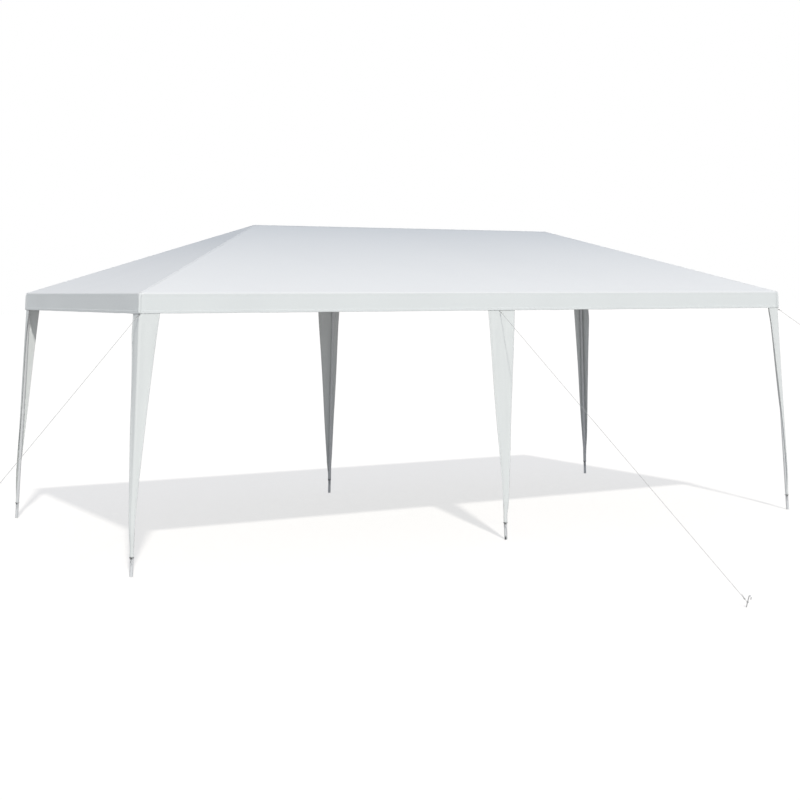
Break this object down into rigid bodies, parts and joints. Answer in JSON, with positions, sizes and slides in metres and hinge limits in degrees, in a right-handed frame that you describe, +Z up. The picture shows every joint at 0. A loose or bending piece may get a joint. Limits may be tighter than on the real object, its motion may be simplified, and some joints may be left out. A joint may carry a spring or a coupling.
{
  "type": "garden gazebo",
  "caption": "Open-sided garden gazebo of the party-tent kind: white hipped canopy with a valance on splayed tube legs, with tapered leg drapes and guy ropes to pegs.",
  "frame": {"origin": "centre of the flat end of the front middle leg, on the ground and on the middle plane between the two ends", "axes": "+X along the ridge towards the right-hand end seen from the front, +Y from the front to the back, +Z up"},
  "size_m": [10.954, 5.8934, 2.4799],
  "materials": {
    "canopy_cloth": "white woven polyethylene sheet, satin coated",
    "drape_cloth": "white woven polyethylene sheet, satin coated",
    "frame_paint": "light grey powder coat on steel tube",
    "joint_plastic": "moulded grey plastic",
    "rope": "thin white twisted rope",
    "peg_wire": "zinc-plated wire"
  },
  "bodies": {
    "root": {"canopy_slope_front": "canopy_cloth", "canopy_slope_back": "canopy_cloth", "canopy_end_left": "canopy_cloth", "canopy_end_right": "canopy_cloth", "valance_front": "canopy_cloth", "valance_back": "canopy_cloth", "valance_left": "canopy_cloth", "valance_right": "canopy_cloth", "leg_drape_front_left_long_side": "drape_cloth", "leg_drape_front_left_end_side": "drape_cloth", "leg_drape_front_middle": "drape_cloth", "leg_drape_front_right_long_side": "drape_cloth", "leg_drape_front_right_end_side": "drape_cloth", "leg_drape_back_left_long_side": "drape_cloth", "leg_drape_back_left_end_side": "drape_cloth", "leg_drape_back_middle": "drape_cloth", "leg_drape_back_right_long_side": "drape_cloth", "leg_drape_back_right_end_side": "drape_cloth", "leg_front_left": "frame_paint", "leg_front_middle": "frame_paint", "leg_front_right": "frame_paint", "leg_back_left": "frame_paint", "leg_back_middle": "frame_paint", "leg_back_right": "frame_paint", "eave_tube_front_left": "frame_paint", "eave_tube_front_right": "frame_paint", "eave_tube_back_left": "frame_paint", "eave_tube_back_right": "frame_paint", "end_eave_tube_left": "frame_paint", "end_eave_tube_right": "frame_paint", "hip_rafter_front_left": "frame_paint", "hip_rafter_front_right": "frame_paint", "hip_rafter_back_left": "frame_paint", "hip_rafter_back_right": "frame_paint", "middle_rafter_front": "frame_paint", "middle_rafter_back": "frame_paint", "ridge_tube_left": "frame_paint", "ridge_tube_right": "frame_paint", "corner_joint_front_left": "joint_plastic", "corner_joint_front_right": "joint_plastic", "corner_joint_back_left": "joint_plastic", "corner_joint_back_right": "joint_plastic", "side_joint_front": "joint_plastic", "side_joint_back": "joint_plastic", "ridge_joint_left": "joint_plastic", "ridge_joint_middle": "joint_plastic", "ridge_joint_right": "joint_plastic", "guy_rope_front_left": "rope", "guy_rope_front_middle": "rope", "guy_rope_front_right": "rope", "peg_front_left": "peg_wire", "peg_front_middle": "peg_wire", "peg_front_right": "peg_wire"}
  },
  "joints": []
}
